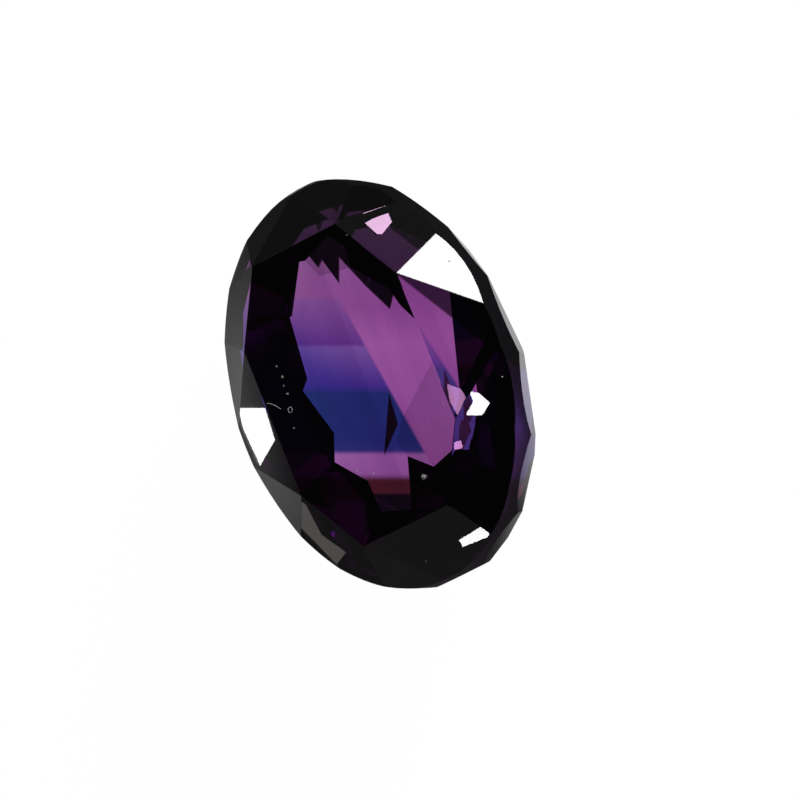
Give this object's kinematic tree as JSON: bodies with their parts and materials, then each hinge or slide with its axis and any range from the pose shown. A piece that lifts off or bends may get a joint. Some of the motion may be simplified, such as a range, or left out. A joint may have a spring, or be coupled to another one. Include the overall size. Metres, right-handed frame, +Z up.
{
  "type": "oval cut sapphire",
  "caption": "Loose oval mixed-cut sapphire, purple with a blue zone, lying on a facet of its pavilion.",
  "frame": {"origin": "centre of the bounding box on the plane the stone rests on", "axes": "+X along the long axis of the oval, +Z up from the facet the stone rests on, +Y level, across the oval"},
  "size_m": [0.007, 0.005, 0.0039],
  "materials": {
    "sapphire": "polished facets"
  },
  "bodies": {
    "root": {"stone": "sapphire"}
  },
  "joints": []
}
